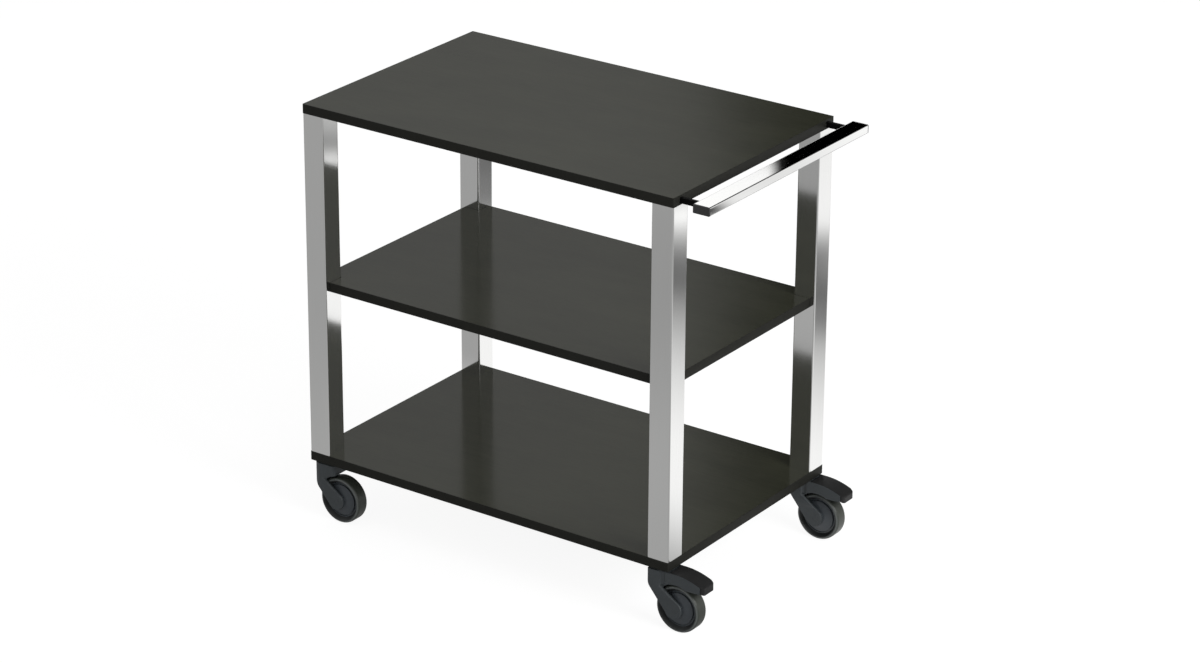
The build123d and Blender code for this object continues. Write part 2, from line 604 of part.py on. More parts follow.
def wheel_disc():
    half = WHEEL_WIDTH / 2
    hub_r = BUSH_D / 2 + HUB_WALL
    face = half - DISC_SETBACK
    edge = face - DISC_FALL
    rim = half - RIM_SETBACK
    lip_r = RIM_R - RIM_LIP
    disc_r = lip_r - DISC_GROOVE_WIDTH
    points = [
        (BUSH_D / 2, 0),
        (BUSH_D / 2, HUB_END),
        (hub_r, HUB_END),
        (hub_r, face),
        (disc_r, edge),
        (disc_r, edge - DISC_GROOVE),
        (lip_r, edge - DISC_GROOVE),
        (lip_r, rim),
        (RIM_R, rim),
        (RIM_R, 0),
    ]
    return turned(Polyline(*points, close=True))


def tyre():
    half = WHEEL_WIDTH / 2
    shoulder = (WHEEL_R - TYRE_SHOULDER_R, half - TYRE_SHOULDER_R)
    slant = TYRE_SHOULDER_R * sqrt(0.5)
    side = (shoulder[0], half)
    tread = (WHEEL_R, shoulder[1])
    outline = Polyline((WHEEL_R, 0), (RIM_R, 0), (RIM_R, half - RIM_SETBACK), side)
    outline += ThreePointArc(side, (shoulder[0] + slant, shoulder[1] + slant), tread)
    outline += Line(tread, (WHEEL_R, 0))
    return turned(outline)


def wheel_bushes():
    flange_t = SIDE_GAP - HUB_PROUD - RUN
    sleeve = Pos(0, HUB_END - BUSH_LENGTH / 2, 0) * across(BUSH_D / 2, BUSH_LENGTH)
    flange = Pos(0, HUB_END + flange_t / 2, 0) * across(BUSH_D / 2 + BUSH_LIP, flange_t)
    bush = sleeve + flange - across(AXLE_D / 2 + FIT, 4 * HUB_END)
    return [bush, mirror(bush, Plane.XZ)]


def axle():
    shank = Pos(0, AXLE_HEAD_T / 2, 0) * across(AXLE_D / 2, 2 * BOSS_OUT - AXLE_HEAD_T)
    flush_head = Pos(0, -BOSS_OUT + AXLE_HEAD_T / 2, 0) * across(AXLE_HEAD_D / 2, AXLE_HEAD_T)
    return shank + flush_head


def axle_nut():
    ring = across(AXLE_HEAD_D / 2, AXLE_HEAD_T) - across(AXLE_D / 2 + FIT, 2 * AXLE_HEAD_T)
    return Pos(0, BOSS_OUT - AXLE_HEAD_T / 2, 0) * ring


def placed(shape, x, y, z):
    return Pos(x, y, z) * shape


def at_legs(shape, z):
    """One of these at each leg, at the level given."""
    return [placed(shape, x, y, z) for _, x, y, _, _ in corners()]


def both_arms(make):
    """What the maker gives for the front and for the rear arm of the handle."""
    return [make(sign_y) for sign_y in SIDES.values()]


def write(name, *solids):
    shape = solids[0] if len(solids) == 1 else Compound(children=list(solids))
    export_step(shape, f"parts/{name}.step")


def write_frame():
    write("top_shelf", top_shelf())
    write("middle_shelf", middle_shelf())
    write("bottom_shelf", bottom_shelf())
    brackets = []
    screws = []
    for name, x, y, sign_x, sign_y in corners():
        write(f"leg_{name}", placed(leg(), x, y, LEG_BOTTOM_Z))
        plate = bracket()
        plate = mirror(plate, Plane.YZ) if sign_x > 0 else plate
        plate = mirror(plate, Plane.XZ) if sign_y > 0 else plate
        brackets.append(placed(plate, x, y, MIDDLE_Z - BRACKET_T))
        for place in bracket_screws_at(x, y, sign_x, sign_y):
            screws.append(placed(bracket_screw(), *place, MIDDLE_Z - BRACKET_T))
    write("shelf_brackets", *brackets)
    write("bracket_screws", *screws)
    foot_plug = plug(FOOT_PLUG_HEIGHT, STEM_D, STEM_IN_PLUG, mouth_up=False)
    top_plug = plug(TOP_PLUG_HEIGHT, TOP_STUD_D, TOP_STUD_IN_PLUG, mouth_up=True)
    top_stud = standing(Circle(TOP_STUD_D / 2), -TOP_STUD_IN_PLUG, STUD_IN_SHELF)
    write("leg_foot_plugs", *at_legs(foot_plug, LEG_BOTTOM_Z))
    write("leg_top_plugs", *at_legs(top_plug, TOP_Z - TOP_PLUG_HEIGHT))
    write("top_shelf_studs", *at_legs(top_stud, TOP_Z))


def write_handle():
    write("handle_bar", handle_bar())
    write("handle_end_caps", *both_arms(bar_end_cap))
    write("handle_studs", *both_arms(handle_stud))
    write("handle_inserts", *both_arms(handle_insert))
    write("handle_nut_blocks", *both_arms(nut_block))
    for side, sign_y in SIDES.items():
        write(f"handle_arm_{side}", handle_arm(sign_y))


def write_casters():
    write("caster_stems", *at_legs(stem(), BOTTOM_Z))
    write("stem_nuts", *at_legs(stem_nut(), BOTTOM_Z))
    write("swivel_rings", *at_legs(swivel_ring(), BOTTOM_Z))
    for name, x, y, _, _ in corners():
        braked = name.endswith(BRAKED_END)
        hub = (x + TRAIL, y, WHEEL_R)
        write(f"fork_{name}", placed(braked_fork() if braked else plain_fork(), x, y, BOTTOM_Z))
        write(f"wheel_disc_{name}", placed(wheel_disc(), *hub))
        write(f"tyre_{name}", placed(tyre(), *hub))
        write(f"wheel_bushes_{name}", *[placed(bush, *hub) for bush in wheel_bushes()])
        write(f"axle_{name}", placed(axle(), *hub))
        write(f"axle_nut_{name}", placed(axle_nut(), *hub))
        if braked:
            write(f"brake_pedal_{name}", placed(pedal(), x, y, BOTTOM_Z))
            write(f"pedal_pin_{name}", placed(pedal_pin(), x, y, BOTTOM_Z))
            write(f"brake_shoe_{name}", placed(brake_shoe(), x, y, BOTTOM_Z))
            write(f"brake_leaf_{name}", placed(brake_leaf(), x, y, BOTTOM_Z))


os.makedirs("parts", exist_ok=True)
write_frame()
write_handle()
write_casters()
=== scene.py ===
from math import cos, hypot, pi, radians, sin

import bmesh
import bpy
from mathutils import Matrix, Vector


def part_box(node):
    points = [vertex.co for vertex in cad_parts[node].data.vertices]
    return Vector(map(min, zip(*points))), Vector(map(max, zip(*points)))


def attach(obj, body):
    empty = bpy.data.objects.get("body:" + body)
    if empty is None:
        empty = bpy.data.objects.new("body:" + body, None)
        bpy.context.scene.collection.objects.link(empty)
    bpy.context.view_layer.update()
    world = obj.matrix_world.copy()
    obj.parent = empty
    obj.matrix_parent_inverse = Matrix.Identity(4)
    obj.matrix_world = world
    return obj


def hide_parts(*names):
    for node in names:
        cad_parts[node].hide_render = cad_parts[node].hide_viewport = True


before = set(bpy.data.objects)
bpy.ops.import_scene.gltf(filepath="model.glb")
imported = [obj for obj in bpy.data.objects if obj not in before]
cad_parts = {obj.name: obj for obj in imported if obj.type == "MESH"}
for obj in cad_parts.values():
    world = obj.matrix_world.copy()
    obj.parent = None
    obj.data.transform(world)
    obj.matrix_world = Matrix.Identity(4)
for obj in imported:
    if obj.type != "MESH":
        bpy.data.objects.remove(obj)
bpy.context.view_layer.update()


# Shelf boards: three flat panels, 20 mm thick, faced on both sides with dark grey laminate.
# The fine grain of the laminate runs along the cart. The middle board is notched round the legs.
# The laminate's pattern is given in cycles per metre along X, Y and Z.
EDGE_BAND = 0.0008
PANEL_TO_BAND = 0.00005
BOARD_CORNER = 0.0025
CORNER_STEPS = 6
ROUND_PROFILE = 0.5
LEG_NOTCH = 0.0375
BOARDS = {"top_shelf": 0, "middle_shelf": LEG_NOTCH, "bottom_shelf": 0}
LAMINATE_DARK = (0.0285, 0.0296, 0.0192, 1)
LAMINATE_LIGHT = (0.0432, 0.0449, 0.0291, 1)
LAMINATE_IOR = 1.145
LAMINATE_ROUGHNESS = (0.09, 0.17)
CLOUD_CYCLES = (5.0, 11.0, 11.0)
GRAIN_CYCLES = (16.0, 420.0, 420.0)
GRAIN_SHARE = 0.45
TONE_SPREAD = (0.3, 0.7)
PORE_CYCLES = (60.0, 1600.0, 1600.0)
PORE_DEPTH = 0.0002
PORE_STRENGTH = 0.05


def add_node(tree, kind, inputs=(), **settings):
    """Adds a node, sets its options, and gives each input a value or a link."""
    made = tree.nodes.new(kind)
    for option, value in settings.items():
        setattr(made, option, value)
    for socket, value in dict(inputs).items():
        if isinstance(value, bpy.types.NodeSocket):
            tree.links.new(value, made.inputs[socket])
        else:
            made.inputs[socket].default_value = value
    return made


def maths(tree, operation, one, other=0.0, third=0.0):
    """The result of one step of arithmetic."""
    return add_node(tree, "ShaderNodeMath", {0: one, 1: other, 2: third}, operation=operation).outputs[0]


def fade(tree, value, start, end, low=0.0, high=1.0, kind="LINEAR"):
    """Runs from low to high while the value runs from start to end."""
    values = {"Value": value, "From Min": start, "From Max": end, "To Min": low, "To Max": high}
    return add_node(tree, "ShaderNodeMapRange", values, interpolation_type=kind).outputs["Result"]


def noise(tree, place, scale, detail, roughness=0.5):
    values = {"Vector": place, "Scale": scale, "Detail": detail, "Roughness": roughness}
    return add_node(tree, "ShaderNodeTexNoise", values).outputs["Fac"]


def grain_noise(tree, cycles, detail, roughness=0.55):
    """Noise with its own number of cycles along each axis."""
    place = add_node(tree, "ShaderNodeTexCoord").outputs["Object"]
    place = add_node(tree, "ShaderNodeMapping", {"Vector": place, "Scale": cycles}).outputs["Vector"]
    return noise(tree, place, 1.0, detail, roughness)


def mixed(tree, share, one, other):
    """One colour that goes over into another; a Mix node keeps its colours in these sockets."""
    first_colour, second_colour, mixed_colour = 6, 7, 2
    values = {"Factor": share, first_colour: one, second_colour: other}
    return add_node(tree, "ShaderNodeMix", values, data_type="RGBA").outputs[mixed_colour]


def new_finish(name, **settings):
    """A material with its shader's plain settings; what varies is linked to the shader afterwards."""
    material = bpy.data.materials.new(name)
    material.use_nodes = True
    shader = material.node_tree.nodes["Principled BSDF"]
    for socket, value in settings.items():
        shader.inputs[socket].default_value = value
    return material, material.node_tree, shader


def laminate_finish():
    """Cloudy dark grey with a fine grain, a satin gloss that follows the grain, and shallow pores."""
    material, tree, shader = new_finish("dark_laminate", IOR=LAMINATE_IOR)
    clouds = grain_noise(tree, CLOUD_CYCLES, detail=4.0)
    grain = grain_noise(tree, GRAIN_CYCLES, detail=5.0, roughness=0.7)
    pores = grain_noise(tree, PORE_CYCLES, detail=2.0)
    tone = maths(tree, "MULTIPLY_ADD", grain, GRAIN_SHARE, maths(tree, "MULTIPLY", clouds, 1.0 - GRAIN_SHARE))
    colour = mixed(tree, fade(tree, tone, *TONE_SPREAD), LAMINATE_DARK, LAMINATE_LIGHT)
    tree.links.new(colour, shader.inputs["Base Color"])
    tree.links.new(fade(tree, grain, 0.0, 1.0, *LAMINATE_ROUGHNESS), shader.inputs["Roughness"])
    relief = {"Height": pores, "Strength": PORE_STRENGTH, "Distance": PORE_DEPTH}
    bump = add_node(tree, "ShaderNodeBump", relief)
    tree.links.new(bump.outputs["Normal"], shader.inputs["Normal"])
    return material


def link_mesh(name, mesh, material=None):
    """A piece at the origin, made from a finished mesh."""
    piece = bpy.data.objects.new(name, mesh)
    bpy.context.scene.collection.objects.link(piece)
    if material:
        mesh.materials.append(material)
    return piece


def mesh_from(form, name):
    mesh = bpy.data.meshes.new(name)
    form.to_mesh(mesh)
    form.free()
    return mesh


def board_outline(node, notch):
    """Corner points of a board, anticlockwise from above; notch is the square that each leg takes out."""
    low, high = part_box(node)
    corners = [(low.x, low.y, 1, 1), (high.x, low.y, -1, 1), (high.x, high.y, -1, -1), (low.x, high.y, 1, -1)]
    points = []
    for turn, (x, y, in_x, in_y) in enumerate(corners):
        if not notch:
            points.append(Vector((x, y)))
            continue
        steps = [(0, in_y * notch), (in_x * notch, in_y * notch), (in_x * notch, 0)]
        for dx, dy in steps if turn % 2 == 0 else reversed(steps):
            points.append(Vector((x + dx, y + dy)))
    return points


def outer_edges(points, notch):
    """Which of the outline's edges lie on the outside of the board, and not in a notch."""
    return [i for i in range(len(points)) if not notch or i % 3 == 2]


def inset(points, outer, distance):
    """The same square-cornered outline with its outer edges moved inwards."""
    moved = []
    for i, point in enumerate(points):
        before = (point - points[i - 1]).normalized() * ((i - 1) % len(points) in outer)
        after = (points[(i + 1) % len(points)] - point).normalized() * (i in outer)
        moved.append(point + distance * Vector((-before.y - after.y, before.x + after.x)))
    return moved


def panel(node, notch, material):
    """A board as far out as its edge bands leave it."""
    low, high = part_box(node)
    outline = board_outline(node, notch)
    outline = inset(outline, outer_edges(outline, notch), EDGE_BAND + PANEL_TO_BAND)
    form = bmesh.new()
    underside = form.faces.new([form.verts.new((p.x, p.y, low.z)) for p in outline])
    raised = bmesh.ops.extrude_face_region(form, geom=[underside])["geom"]
    upper = [part for part in raised if isinstance(part, bmesh.types.BMVert)]
    bmesh.ops.translate(form, verts=upper, vec=(0, 0, high.z - low.z))
    if not notch:
        upright = [edge for edge in form.edges if edge.verts[0].co.xy == edge.verts[1].co.xy]
        rounding = BOARD_CORNER - EDGE_BAND - PANEL_TO_BAND
        bmesh.ops.bevel(form, geom=upright, offset=rounding, segments=CORNER_STEPS, profile=ROUND_PROFILE,
                        affect="EDGES")
    bmesh.ops.recalc_face_normals(form, faces=form.faces)
    return link_mesh(f"{node}_panel", mesh_from(form, f"{node}_panel"), material)


dark_laminate = laminate_finish()
for board, notch in BOARDS.items():
    faced_panel = panel(board, notch, dark_laminate)
    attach(faced_panel, "frame")
    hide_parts(board)


# Edge bands: thin strips of dark plastic, glued to the outer edges of the boards.
# Their arrises are rounded. Where a board has no notches, the strip turns its corners in one piece.
BAND_ARRIS = 0.0006
ARRIS_STEPS = 4
MERGE_WITHIN = 1e-6
BAND_COLOUR = (0.0202, 0.0204, 0.0178, 1)
BAND_ROUGHNESS = 0.42
BAND_IOR = 1.12
MOTTLE_CYCLES = 35.0
MEAN_NOISE = 0.5
SKIN_DULLING = (0.9, 1.1)
SKIN_BUMP = 0.4


def surface_group(name, inputs):
    """An empty shader group with its inputs named, which gives a colour, a roughness and a normal."""
    group = bpy.data.node_groups.new(name, "ShaderNodeTree")
    for socket, kind in inputs.items():
        group.interface.new_socket(name=socket, in_out="INPUT", socket_type=f"NodeSocket{kind}")
    for socket, kind in {"Colour": "Color", "Roughness": "Float", "Normal": "Vector"}.items():
        group.interface.new_socket(name=socket, in_out="OUTPUT", socket_type=f"NodeSocket{kind}")
    return group, group.nodes.new("NodeGroupInput").outputs


def end_group(group, colour, shade, roughness, height, strength, depth):
    """Ends a surface group: the colour times its shade, the roughness, and a bump from the height."""
    tint = add_node(group, "ShaderNodeVectorMath", {0: colour, "Scale": shade}, operation="SCALE")
    bump = add_node(group, "ShaderNodeBump", {"Height": height, "Strength": strength, "Distance": depth})
    results = {"Colour": tint.outputs["Vector"], "Roughness": roughness, "Normal": bump.outputs["Normal"]}
    add_node(group, "NodeGroupOutput", results)


def moulded_skin_group():
    """Slight mottling and the fine spark-eroded grain of a moulded plastic or rubber skin."""
    inputs = {"Colour": "Color", "Mottle": "Float", "Roughness": "Float", "Grain size": "Float",
              "Grain depth": "Float"}
    group, given = surface_group("moulded_skin", inputs)
    place = add_node(group, "ShaderNodeTexCoord").outputs["Object"]
    clouds = noise(group, place, MOTTLE_CYCLES, detail=3.0)
    grain = noise(group, place, maths(group, "DIVIDE", 1.0, given["Grain size"]), detail=2.0)
    spread = maths(group, "SUBTRACT", clouds, MEAN_NOISE)
    shade = maths(group, "MULTIPLY_ADD", spread, given["Mottle"], 1.0)
    dull = maths(group, "MULTIPLY", fade(group, grain, 0.0, 1.0, *SKIN_DULLING), given["Roughness"])
    end_group(group, given["Colour"], shade, dull, grain, SKIN_BUMP, given["Grain depth"])
    return group


def surface_finish(name, group, values, **settings):
    """A material with a surface group in it, at the values given."""
    material, tree, shader = new_finish(name, **settings)
    skin = add_node(tree, "ShaderNodeGroup", node_tree=group)
    for socket, value in values.items():
        skin.inputs[socket].default_value = value
    for output, socket in [("Colour", "Base Color"), ("Roughness", "Roughness"), ("Normal", "Normal")]:
        tree.links.new(skin.outputs[output], shader.inputs[socket])
    return material


def moulded_finish(name, colour, roughness, grain_size=0.0006, grain_depth=0.00008, mottle=0.25, ior=1.45):
    values = {"Colour": colour, "Mottle": mottle, "Roughness": roughness, "Grain size": grain_size,
              "Grain depth": grain_depth}
    return surface_finish(name, moulded_skin, values, IOR=ior)


def shape_tree(name, inputs):
    """An empty geometry tree with the inputs named, a geometry first."""
    tree = bpy.data.node_groups.new(name, "GeometryNodeTree")
    for socket, kind in inputs.items():
        tree.interface.new_socket(name=socket, in_out="INPUT", socket_type=f"NodeSocket{kind}")
    tree.interface.new_socket(name="Mesh", in_out="OUTPUT", socket_type="NodeSocketGeometry")
    return tree, tree.nodes.new("NodeGroupInput").outputs


def joined_points(tree, geometry):
    """The same mesh with the points that lie on each other made one."""
    values = {"Geometry": geometry, "Distance": MERGE_WITHIN}
    return add_node(tree, "GeometryNodeMergeByDistance", values).outputs["Geometry"]


def end_tree(tree, geometry, material):
    """Ends a geometry tree in real geometry with its material."""
    real = add_node(tree, "GeometryNodeRealizeInstances", {"Geometry": geometry}).outputs["Geometry"]
    coated = add_node(tree, "GeometryNodeSetMaterial", {"Geometry": real, "Material": material})
    add_node(tree, "NodeGroupOutput", {"Mesh": coated.outputs["Geometry"]})


def grown(name, mesh, tree, values):
    """A plain mesh piece, made from a starting mesh by a geometry tree."""
    piece = link_mesh(name, mesh)
    step = piece.modifiers.new("grow", "NODES")
    step.node_group = tree
    for socket in tree.interface.items_tree:
        if socket.name in values and socket.in_out == "INPUT":
            step[socket.identifier] = values[socket.name]
    ready = piece.evaluated_get(bpy.context.evaluated_depsgraph_get())
    finished = bpy.data.meshes.new_from_object(ready)
    # No empty slot may stay in front of the material.
    finished.materials.clear()
    finished.materials.append(values["Material"])
    finished.polygons.foreach_set("material_index", [0] * len(finished.polygons))
    piece.modifiers.clear()
    piece.data = finished
    return piece


def edge_band_tree():
    """Sweeps a strip along a board's edge, with its outer arrises rounded."""
    sockets = {"Outline": "Geometry", "Thickness": "Float", "Height": "Float", "Corner radius": "Float",
               "Arris radius": "Float", "Material": "Material"}
    tree, given = shape_tree("edge_band", sockets)

    def rounded(curve, radius, steps):
        values = {"Curve": curve, "Radius": radius, "Count": steps}
        return add_node(tree, "GeometryNodeFilletCurve", values, mode="POLY").outputs["Curve"]

    path = add_node(tree, "GeometryNodeMeshToCurve", {"Mesh": given["Outline"]}).outputs["Curve"]
    path = rounded(path, given["Corner radius"], CORNER_STEPS)
    path = add_node(tree, "GeometryNodeSetCurveNormal", {"Curve": path}, mode="Z_UP").outputs["Curve"]
    section = {"Width": given["Thickness"], "Height": given["Height"]}
    strip = add_node(tree, "GeometryNodeCurvePrimitiveQuadrilateral", section).outputs["Curve"]
    across = add_node(tree, "GeometryNodeInputPosition").outputs["Position"]
    across = add_node(tree, "ShaderNodeSeparateXYZ", {"Vector": across}).outputs["X"]
    outside = maths(tree, "GREATER_THAN", across, 0.0)
    strip = rounded(strip, maths(tree, "MULTIPLY", outside, given["Arris radius"]), ARRIS_STEPS)
    sweep = {"Curve": path, "Profile Curve": strip, "Fill Caps": True}
    band = add_node(tree, "GeometryNodeCurveToMesh", sweep).outputs["Mesh"]
    end_tree(tree, joined_points(tree, band), given["Material"])
    return tree


def edge_mesh(name, points, outer, height):
    mesh = bpy.data.meshes.new(name)
    edges = [(i, (i + 1) % len(points)) for i in outer]
    mesh.from_pydata([(p.x, p.y, height) for p in points], edges, [])
    return mesh


moulded_skin = moulded_skin_group()
band_plastic = moulded_finish("edge_band_plastic", BAND_COLOUR, BAND_ROUGHNESS, ior=BAND_IOR)
band_tree = edge_band_tree()
for board, notch in BOARDS.items():
    low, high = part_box(board)
    outline = board_outline(board, notch)
    outer = outer_edges(outline, notch)
    path = edge_mesh(f"{board}_edge", inset(outline, outer, EDGE_BAND / 2), outer, (low.z + high.z) / 2)
    sizes = {"Thickness": EDGE_BAND, "Height": high.z - low.z, "Corner radius": BOARD_CORNER - EDGE_BAND / 2,
             "Arris radius": BAND_ARRIS, "Material": band_plastic}
    band = grown(f"{board}_edge_band", path, band_tree, sizes)
    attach(band, "frame")


# Legs: four square tubes of stainless steel, 50 mm wide with a 2 mm wall, ground and polished.
# Each stands on the bottom board and carries the top one; the polish leaves faint lines down its length.
LEG_WALL = 0.002
LEG_CORNER = 0.003
TUBE_CORNER_STEPS = 6
TUBE_FLAT_START = 0.0003
TUBE_SHARP = radians(40)
STEEL_COLOUR = (0.90, 0.90, 0.89, 1)
LEG_LINE_CYCLES = (900.0, 900.0, 6.0)
LEG_ROUGHNESS = 0.10
POLISH_DEPTH = 0.00001
SMEAR_CYCLES = 9.0
LINE_SHADING = (0.96, 1.04)
LINE_DULLING = (0.5, 1.5)
LINE_BUMP = 0.1
CORNERS = ["front_left", "front_right", "rear_left", "rear_right"]


def drawn_steel_group():
    """Faint polishing lines along one axis: they tint the metal, dull it and tilt its surface a little."""
    inputs = {"Colour": "Color", "Lines": "Vector", "Roughness": "Float", "Depth": "Float"}
    group, given = surface_group("drawn_steel", inputs)
    place = add_node(group, "ShaderNodeTexCoord").outputs["Object"]
    along = add_node(group, "ShaderNodeVectorMath", {0: place, 1: given["Lines"]}, operation="MULTIPLY")
    lines = noise(group, along.outputs["Vector"], 1.0, detail=3.0)
    smears = noise(group, place, SMEAR_CYCLES, detail=2.0)
    shade = fade(group, lines, 0.0, 1.0, *LINE_SHADING)
    dull = fade(group, maths(group, "ADD", lines, smears), 0.0, 2.0, *LINE_DULLING)
    dull = maths(group, "MULTIPLY", dull, given["Roughness"])
    end_group(group, given["Colour"], shade, dull, lines, LINE_BUMP, given["Depth"])
    return group


def steel_finish(name, colour, lines, roughness, depth):
    values = {"Colour": colour, "Lines": lines, "Roughness": roughness, "Depth": depth}
    return surface_finish(name, drawn_steel, values, Metallic=1.0)


def rounded_section(width, height, corner):
    """Points round a rectangle with round corners, anticlockwise; two more keep each flat truly flat."""
    points = []
    for turn, (side_x, side_y) in enumerate([(1, 1), (-1, 1), (-1, -1), (1, -1)]):
        centre = Vector((side_x * (width / 2 - corner), side_y * (height / 2 - corner)))
        angles = [(turn + step / TUBE_CORNER_STEPS) * pi / 2 for step in range(TUBE_CORNER_STEPS + 1)]
        arc = [centre + corner * Vector((cos(angle), sin(angle))) for angle in angles]
        along_in, along_out = [Vector((-sin(angle), cos(angle))) for angle in (angles[0], angles[-1])]
        points += [arc[0] - TUBE_FLAT_START * along_in, *arc, arc[-1] + TUBE_FLAT_START * along_out]
    return points


def tube(name, size, wall, corner, place, material):
    """A rectangular tube of a width, height and length, made along its own Z and put in place by a matrix."""
    width, height, length = size
    least_corner = wall / 4
    form = bmesh.new()
    rings = []
    for shrink in (0.0, wall):
        section = rounded_section(width - 2 * shrink, height - 2 * shrink, max(corner - shrink, least_corner))
        for level in (0.0, length):
            rings.append([form.verts.new((x, y, level)) for x, y in section])
    outer_low, outer_high, inner_low, inner_high = rings
    skin = [outer_low, outer_high, inner_high, inner_low, outer_low]
    for one, other in zip(skin, skin[1:]):
        for i in range(len(one)):
            j = (i + 1) % len(one)
            form.faces.new([one[i], one[j], other[j], other[i]])
    bmesh.ops.recalc_face_normals(form, faces=form.faces)
    bmesh.ops.transform(form, matrix=place, verts=form.verts)
    mesh = mesh_from(form, name)
    mesh.shade_smooth()
    mesh.set_sharp_from_angle(angle=TUBE_SHARP)
    return link_mesh(name, mesh, material)


drawn_steel = drawn_steel_group()
leg_steel = steel_finish("leg_polished_steel", STEEL_COLOUR, LEG_LINE_CYCLES, LEG_ROUGHNESS, POLISH_DEPTH)
for corner in CORNERS:
    low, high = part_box(f"leg_{corner}")
    foot = Matrix.Translation(((low.x + high.x) / 2, (low.y + high.y) / 2, low.z))
    leg = tube(f"leg_{corner}_tube", high - low, LEG_WALL, LEG_CORNER, foot, leg_steel)
    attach(leg, "frame")
    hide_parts(f"leg_{corner}")


# Leg plugs and studs: moulded plugs driven into both ends of every tube, with a zinc-plated stud
# in the upper one that holds the top board. They are closed in by the boards.
PLUG_COLOUR = (0.022, 0.022, 0.023, 1)
PLUG_ROUGHNESS = 0.5
ZINC_COLOUR = (0.52, 0.53, 0.54, 1)
ZINC_CYCLES = (260.0, 260.0, 260.0)
ZINC_ROUGHNESS = 0.34
ZINC_DEPTH = 0.00004


def dress(material, *nodes):
    """Gives CAD nodes their finish."""
    for name in nodes:
        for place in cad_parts[name].material_slots:
            place.material = material


plug_plastic = moulded_finish("plug_plastic", PLUG_COLOUR, PLUG_ROUGHNESS)
zinc_steel = steel_finish("zinc_plated_steel", ZINC_COLOUR, ZINC_CYCLES, ZINC_ROUGHNESS, ZINC_DEPTH)
dress(plug_plastic, "leg_top_plugs", "leg_foot_plugs")
dress(zinc_steel, "top_shelf_studs")


# Shelf brackets: black powder-coated plates that hug the inner corner of each leg under the middle
# board. Two cross-recessed wood screws go up through each plate into the board.
COAT_COLOUR = (0.0035, 0.0035, 0.0036, 1)
COAT_ROUGHNESS = 0.55
COAT_GRAIN = 0.0011
COAT_DEPTH = 0.00005
COAT_MOTTLE = 0.15
COAT_IOR = 1.12
SCREW_HEAD = 0.008
SCREW_CROWN = 0.00496
SCREW_HEAD_HEIGHT = 0.0025
SCREW_HEAD_SIDES = 24
SCREW_SHANK = 0.004
SCREW_SHANK_SIDES = 20
SCREW_CROSS = 0.0011
SCREW_CROSS_LENGTH = 0.0044
SCREW_CROSS_DEPTH = 0.0014
SCREW_STEP = 0.032


def screw_tree():
    """Puts a screw with a tapered, cross-recessed head, facing down, on each point of a mesh."""
    lengths = ["Head diameter", "Crown diameter", "Head height", "Shank diameter", "Shank length",
               "Cross width", "Cross length", "Cross depth"]
    sockets = {"Places": "Geometry", **{name: "Float" for name in lengths}, "Material": "Material"}
    tree, given = shape_tree("bracket_screws", sockets)

    def times(value, factor):
        return maths(tree, "MULTIPLY", value, factor)

    def point(x, y, z):
        return add_node(tree, "ShaderNodeCombineXYZ", {"X": x, "Y": y, "Z": z}).outputs["Vector"]

    def placed(geometry, **change):
        return add_node(tree, "GeometryNodeTransform", {"Geometry": geometry, **change}).outputs["Geometry"]

    def joined(operation, meshes=()):
        return add_node(tree, "GeometryNodeMeshBoolean", meshes, operation=operation, solver="EXACT")

    taper = {"Vertices": SCREW_HEAD_SIDES, "Side Segments": 1, "Fill Segments": 1,
             "Radius Top": times(given["Crown diameter"], 0.5),
             "Radius Bottom": times(given["Head diameter"], 0.5), "Depth": given["Head height"]}
    head = placed(add_node(tree, "GeometryNodeMeshCone", taper).outputs["Mesh"], Rotation=(pi, 0, 0))
    head_face = point(0.0, 0.0, times(given["Head height"], -1.0))
    cross = joined("UNION")
    for x, y in [("Cross width", "Cross length"), ("Cross length", "Cross width")]:
        size = point(given[x], given[y], times(given["Cross depth"], 2.0))
        arm = add_node(tree, "GeometryNodeMeshCube", {"Size": size}).outputs["Mesh"]
        tree.links.new(placed(arm, Translation=head_face), cross.inputs["Mesh 2"])
    head = joined("DIFFERENCE", {"Mesh 1": head, "Mesh 2": cross.outputs["Mesh"]}).outputs["Mesh"]
    rod = {"Vertices": SCREW_SHANK_SIDES, "Radius": times(given["Shank diameter"], 0.5),
           "Depth": given["Shank length"]}
    shank_middle = point(0.0, 0.0, times(given["Shank length"], 0.5))
    shank = placed(add_node(tree, "GeometryNodeMeshCylinder", rod).outputs["Mesh"], Translation=shank_middle)
    screw = tree.nodes.new("GeometryNodeJoinGeometry")
    for form in (joined_points(tree, head), shank):
        tree.links.new(form, screw.inputs["Geometry"])
    places = add_node(tree, "GeometryNodeMeshToPoints", {"Mesh": given["Places"]}).outputs["Points"]
    repeat = {"Points": places, "Instance": screw.outputs["Geometry"]}
    screws = add_node(tree, "GeometryNodeInstanceOnPoints", repeat).outputs["Instances"]
    end_tree(tree, screws, given["Material"])
    return tree


